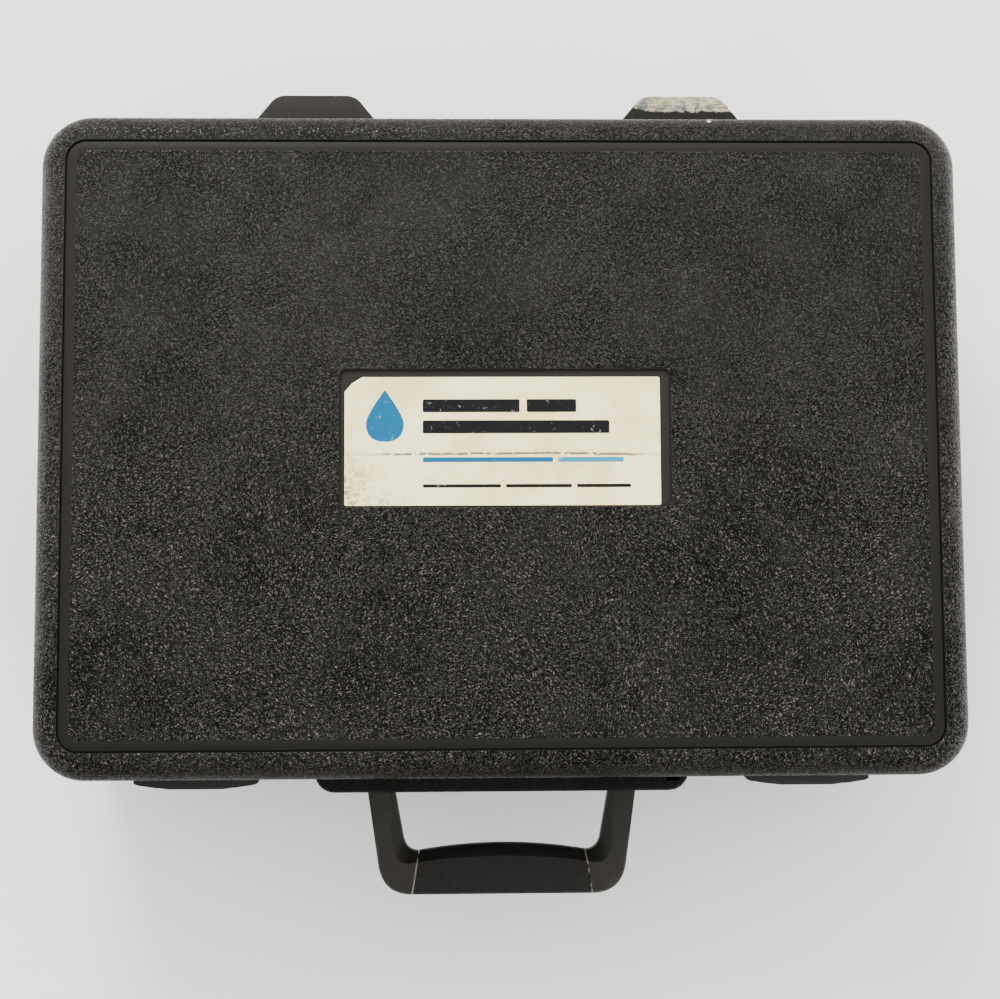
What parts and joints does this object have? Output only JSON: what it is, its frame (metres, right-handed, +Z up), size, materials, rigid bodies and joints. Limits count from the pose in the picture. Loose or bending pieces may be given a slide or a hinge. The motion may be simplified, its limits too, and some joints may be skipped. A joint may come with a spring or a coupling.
{
  "type": "water test kit",
  "caption": "Hard carrying case for a water test kit: hinged lid, front latches, folding handle, and foam-packed bottles, tubes, titrators and a colour comparator.",
  "frame": {"origin": "centre of the case's underside, with the case lying flat and its lid up", "axes": "+X to the right seen from the handle side, +Y from the handle to the hinges, +Z up through the lid"},
  "size_m": [0.397, 0.3628, 0.12],
  "materials": {
    "case_shell": "matte",
    "smooth_plastic": "satin",
    "pin_steel": "satin",
    "printed_label": "satin",
    "booklet_paper": "matte",
    "foam": "matte",
    "bottle_plastic": "satin",
    "white_cap": "satin",
    "blue_cap": "satin",
    "tube_glass": "gloss",
    "clear_plastic": "gloss",
    "viewer_plastic": "satin",
    "slide_plastic": "satin"
  },
  "bodies": {
    "base": {"base_shell": "case_shell", "rear_foot_left": "smooth_plastic", "rear_foot_right": "smooth_plastic", "hinge_pin_left": "pin_steel", "hinge_pin_right": "pin_steel", "latch_pin_left": "pin_steel", "latch_pin_right": "pin_steel", "handle_pin_left": "pin_steel", "handle_pin_right": "pin_steel", "instruction_booklet": "booklet_paper", "bottom_pad": "foam", "foam_rear": "foam", "foam_tubes": "foam", "foam_tablets": "foam", "foam_right": "foam", "reagent_bottle_1": "bottle_plastic", "reagent_bottle_2": "bottle_plastic", "reagent_bottle_3": "bottle_plastic", "reagent_bottle_4": "bottle_plastic", "reagent_bottle_5": "bottle_plastic", "reagent_bottle_6": "bottle_plastic", "reagent_bottle_7": "bottle_plastic", "reagent_bottle_8": "bottle_plastic", "sample_bottle": "bottle_plastic", "test_tube_1": "tube_glass", "test_tube_2": "tube_glass", "test_tube_3": "tube_glass", "test_tube_4": "tube_glass", "titrator_barrel_1": "clear_plastic", "titrator_barrel_2": "clear_plastic", "tablet_box_base": "clear_plastic", "comparator_viewer": "viewer_plastic"},
    "lid": {"lid_shell": "case_shell", "label_plate": "printed_label", "lid_foam": "foam"},
    "latch_left": {"latch_left": "smooth_plastic"},
    "latch_right": {"latch_right": "smooth_plastic"},
    "handle": {"handle_frame": "smooth_plastic", "handle_grip": "smooth_plastic"},
    "bottle_cap_1": {"bottle_cap_1": "white_cap"},
    "bottle_cap_2": {"bottle_cap_2": "white_cap"},
    "bottle_cap_3": {"bottle_cap_3": "white_cap"},
    "bottle_cap_4": {"bottle_cap_4": "white_cap"},
    "bottle_cap_5": {"bottle_cap_5": "white_cap"},
    "bottle_cap_6": {"bottle_cap_6": "white_cap"},
    "bottle_cap_7": {"bottle_cap_7": "white_cap"},
    "bottle_cap_8": {"bottle_cap_8": "white_cap"},
    "tube_cap_1": {"tube_cap_1": "blue_cap"},
    "tube_cap_2": {"tube_cap_2": "blue_cap"},
    "tube_cap_3": {"tube_cap_3": "blue_cap"},
    "tube_cap_4": {"tube_cap_4": "blue_cap"},
    "sample_cap": {"sample_cap": "blue_cap"},
    "titrator_plunger_1": {"titrator_plunger_1": "white_cap"},
    "titrator_plunger_2": {"titrator_plunger_2": "white_cap"},
    "color_slide": {"color_slide": "slide_plastic"},
    "tablet_box_lid": {"tablet_box_lid": "blue_cap"}
  },
  "joints": [
    {"name": "lid_hinge", "type": "hinge", "parent": "base", "child": "lid", "pos_m": [0, 0.1471, 0.08], "axis": [-1, 0, 0], "range_deg": [0, 105]},
    {"name": "latch_left_pivot", "type": "hinge", "parent": "base", "child": "latch_left", "pos_m": [-0.1322, -0.1412, 0.061], "axis": [1, 0, 0], "range_deg": [-4, 95]},
    {"name": "latch_right_pivot", "type": "hinge", "parent": "base", "child": "latch_right", "pos_m": [0.1322, -0.1412, 0.061], "axis": [1, 0, 0], "range_deg": [-4, 95]},
    {"name": "handle_pivot", "type": "hinge", "parent": "base", "child": "handle", "pos_m": [0, -0.1459, 0.064], "axis": [1, 0, 0], "range_deg": [0, 78]},
    {"name": "bottle_cap_1_spin", "type": "hinge", "parent": "base", "child": "bottle_cap_1", "pos_m": [-0.154, 0.097, 0.075], "axis": [0, 0, 1], "continuous": true},
    {"name": "bottle_cap_2_spin", "type": "hinge", "parent": "base", "child": "bottle_cap_2", "pos_m": [-0.11, 0.097, 0.075], "axis": [0, 0, 1], "continuous": true},
    {"name": "bottle_cap_3_spin", "type": "hinge", "parent": "base", "child": "bottle_cap_3", "pos_m": [-0.066, 0.097, 0.075], "axis": [0, 0, 1], "continuous": true},
    {"name": "bottle_cap_4_spin", "type": "hinge", "parent": "base", "child": "bottle_cap_4", "pos_m": [-0.022, 0.097, 0.075], "axis": [0, 0, 1], "continuous": true},
    {"name": "bottle_cap_5_spin", "type": "hinge", "parent": "base", "child": "bottle_cap_5", "pos_m": [0.022, 0.097, 0.075], "axis": [0, 0, 1], "continuous": true},
    {"name": "bottle_cap_6_spin", "type": "hinge", "parent": "base", "child": "bottle_cap_6", "pos_m": [0.066, 0.097, 0.075], "axis": [0, 0, 1], "continuous": true},
    {"name": "bottle_cap_7_spin", "type": "hinge", "parent": "base", "child": "bottle_cap_7", "pos_m": [0.11, 0.097, 0.075], "axis": [0, 0, 1], "continuous": true},
    {"name": "bottle_cap_8_spin", "type": "hinge", "parent": "base", "child": "bottle_cap_8", "pos_m": [0.154, 0.097, 0.075], "axis": [0, 0, 1], "continuous": true},
    {"name": "sample_cap_spin", "type": "hinge", "parent": "base", "child": "sample_cap", "pos_m": [0.15, -0.072, 0.077], "axis": [0, 0, 1], "continuous": true},
    {"name": "tube_cap_1_lift", "type": "slide", "parent": "base", "child": "tube_cap_1", "axis": [0, 0, 1], "range_m": [0, 0.0104]},
    {"name": "tube_cap_2_lift", "type": "slide", "parent": "base", "child": "tube_cap_2", "axis": [0, 0, 1], "range_m": [0, 0.0104]},
    {"name": "tube_cap_3_lift", "type": "slide", "parent": "base", "child": "tube_cap_3", "axis": [0, 0, 1], "range_m": [0, 0.0104]},
    {"name": "tube_cap_4_lift", "type": "slide", "parent": "base", "child": "tube_cap_4", "axis": [0, 0, 1], "range_m": [0, 0.0104]},
    {"name": "titrator_plunger_1_slide", "type": "slide", "parent": "base", "child": "titrator_plunger_1", "axis": [0, -1, 0], "range_m": [0, 0.05]},
    {"name": "titrator_plunger_2_slide", "type": "slide", "parent": "base", "child": "titrator_plunger_2", "axis": [0, -1, 0], "range_m": [0, 0.05]},
    {"name": "color_slide_travel", "type": "slide", "parent": "base", "child": "color_slide", "axis": [0, 1, 0], "range_m": [-0.028, 0.028]},
    {"name": "tablet_box_lid_lift", "type": "slide", "parent": "base", "child": "tablet_box_lid", "axis": [0, 0, 1], "range_m": [0, 0.025]}
  ]
}
